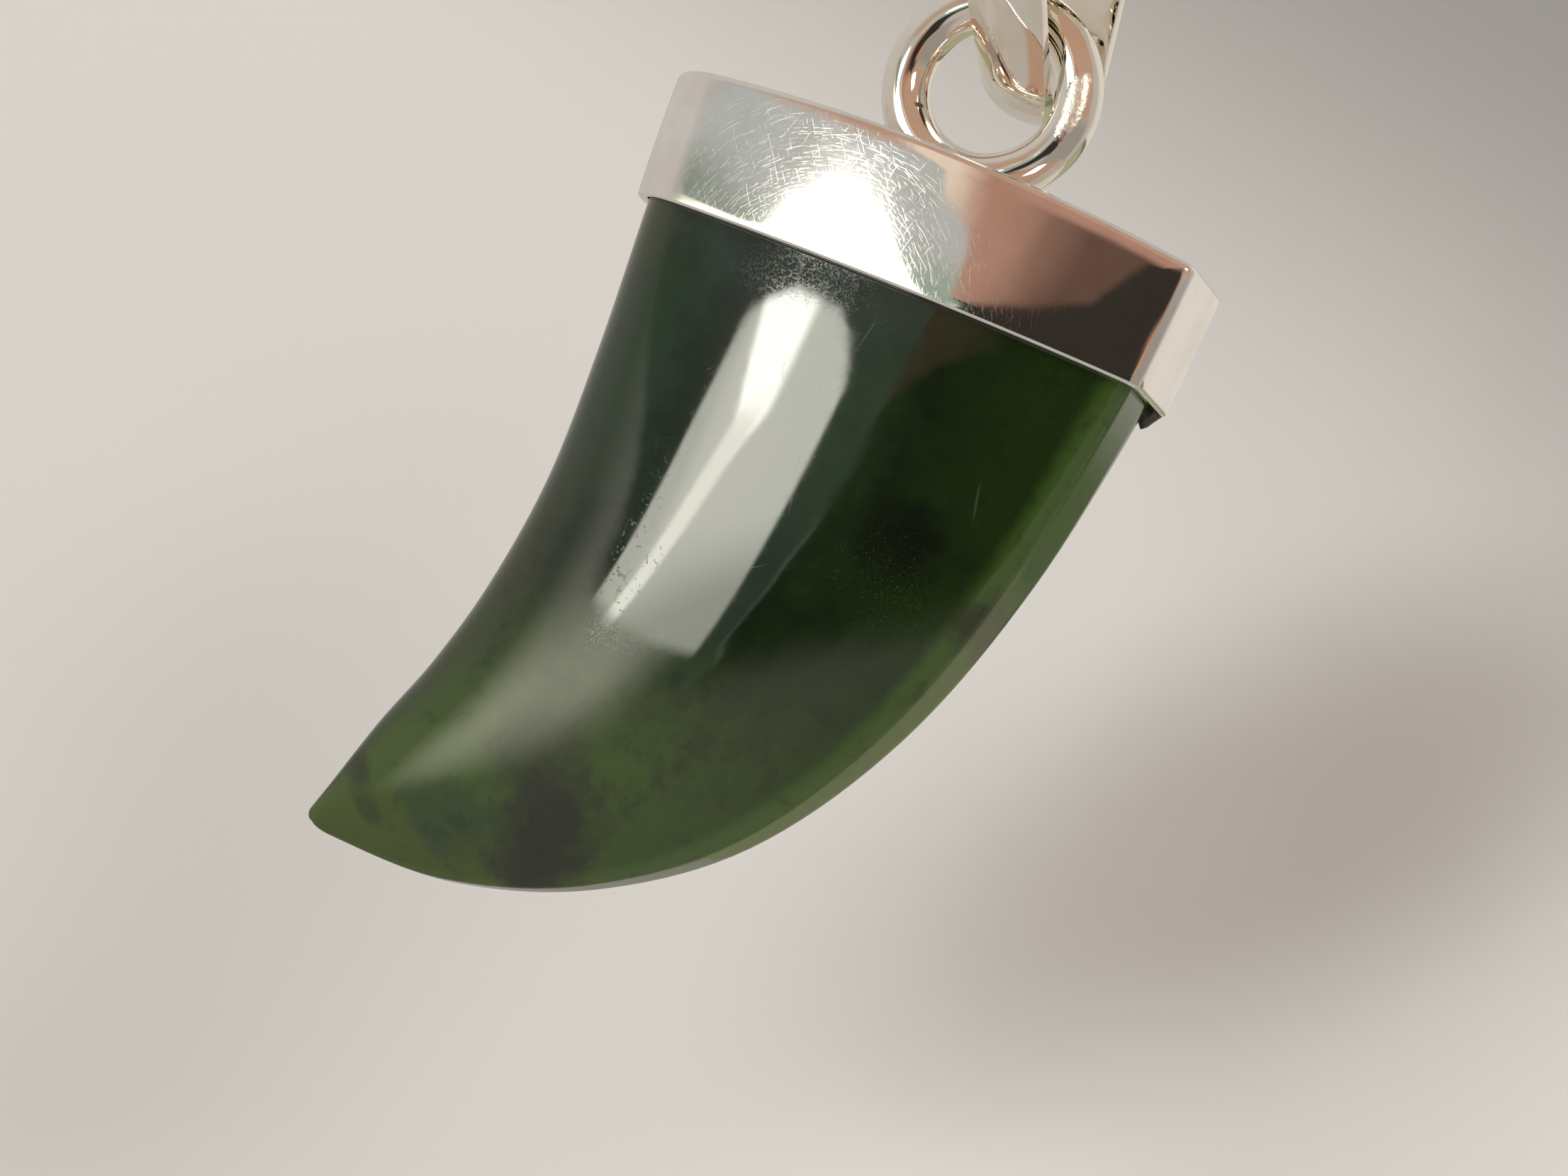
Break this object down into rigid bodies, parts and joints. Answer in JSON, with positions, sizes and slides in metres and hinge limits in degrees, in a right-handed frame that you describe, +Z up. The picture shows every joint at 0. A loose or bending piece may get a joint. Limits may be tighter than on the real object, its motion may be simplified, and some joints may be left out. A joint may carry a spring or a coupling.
{
  "type": "jade claw pendant",
  "caption": "Claw-shaped polished jade drop set in a silver cap, whose soldered ring hangs in a folded bail for a chain.",
  "frame": {"origin": "seat inside the top of the bail's loop, where a chain carries the pendant", "axes": "+Z up along the cap's axis, -Y the way the claw's domed face looks, -X the way the claw's point curves"},
  "size_m": [0.0248, 0.0081, 0.0458],
  "materials": {
    "jade": null,
    "silver": null,
    "resin": "dark setting resin, dull"
  },
  "bodies": {
    "bail": {"bail": "silver"},
    "pendant": {"cap_with_ring": "silver", "jade_claw": "jade", "setting_resin": "resin"}
  },
  "joints": [
    {"name": "pendant_swing", "type": "hinge", "parent": "bail", "child": "pendant", "pos_m": [0.0009, 0.00202, -0.00419], "axis": [0.989, 0, -0.1478], "range_deg": [-12, 35]}
  ]
}
